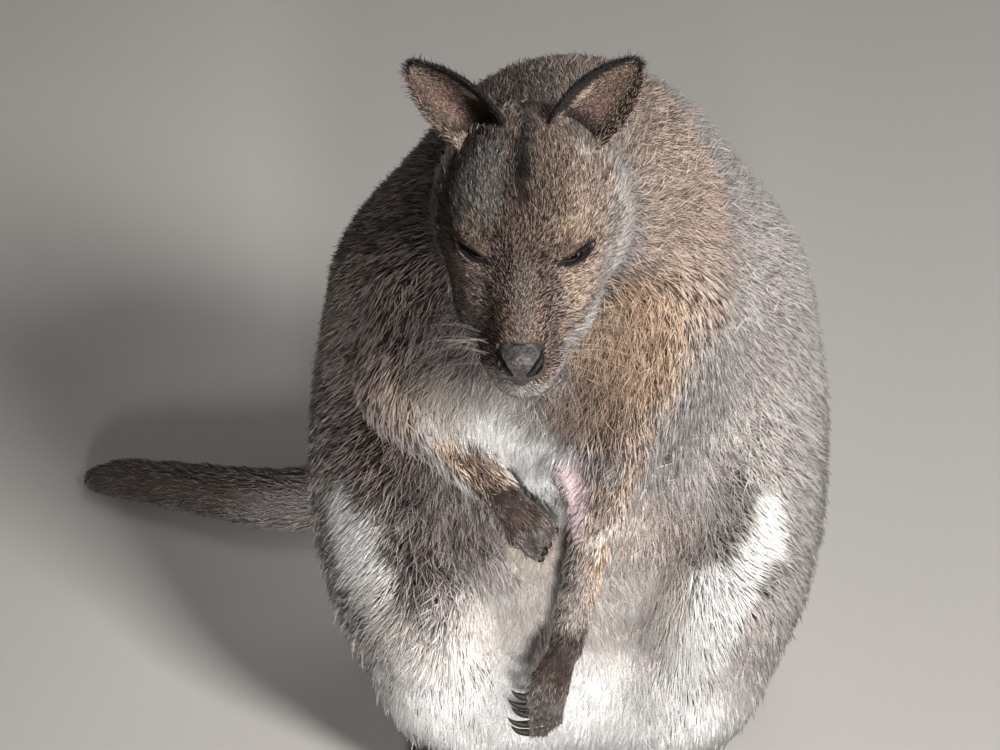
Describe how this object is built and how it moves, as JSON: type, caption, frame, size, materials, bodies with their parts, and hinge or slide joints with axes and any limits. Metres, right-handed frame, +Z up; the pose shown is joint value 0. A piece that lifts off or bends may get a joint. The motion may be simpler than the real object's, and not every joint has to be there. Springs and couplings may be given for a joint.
{
  "type": "red-necked wallaby model",
  "caption": "Still, life-size model of a resting wallaby, crouched on its long hind feet, tail swept to its right, head bowed and forepaws hanging.",
  "frame": {"origin": "on the floor, under the middle of the bounding box", "axes": "+Z up, the animal's head and feet point towards -Y, its left side is towards +X"},
  "size_m": [0.5348, 0.5404, 0.5516],
  "materials": {
    "fur": "soft grizzled coat, matt",
    "eye": "wet gloss",
    "nose": "fine-grained, slightly damp",
    "claw": "worn horn, half gloss"
  },
  "bodies": {
    "root": {"head": "fur", "neck": "fur", "trunk": "fur", "ear_left": "fur", "ear_right": "fur", "eye_left": "eye", "eye_right": "eye", "nose": "nose", "upper_arm_left": "fur", "upper_arm_right": "fur", "forearm_left": "fur", "forearm_right": "fur", "hand_left": "fur", "hand_right": "fur", "claw_hand_left_1": "claw", "claw_hand_left_2": "claw", "claw_hand_left_3": "claw", "claw_hand_left_4": "claw", "claw_hand_left_5": "claw", "claw_hand_right_1": "claw", "claw_hand_right_2": "claw", "claw_hand_right_3": "claw", "claw_hand_right_4": "claw", "claw_hand_right_5": "claw", "thigh_left": "fur", "thigh_right": "fur", "shank_left": "fur", "shank_right": "fur", "foot_left": "fur", "foot_right": "fur", "claw_foot_left_second": "claw", "claw_foot_left_third": "claw", "claw_foot_left_fourth": "claw", "claw_foot_left_fifth": "claw", "claw_foot_right_second": "claw", "claw_foot_right_third": "claw", "claw_foot_right_fourth": "claw", "claw_foot_right_fifth": "claw", "tail_base": "fur", "tail_middle": "fur", "tail_tip": "fur"}
  },
  "joints": []
}
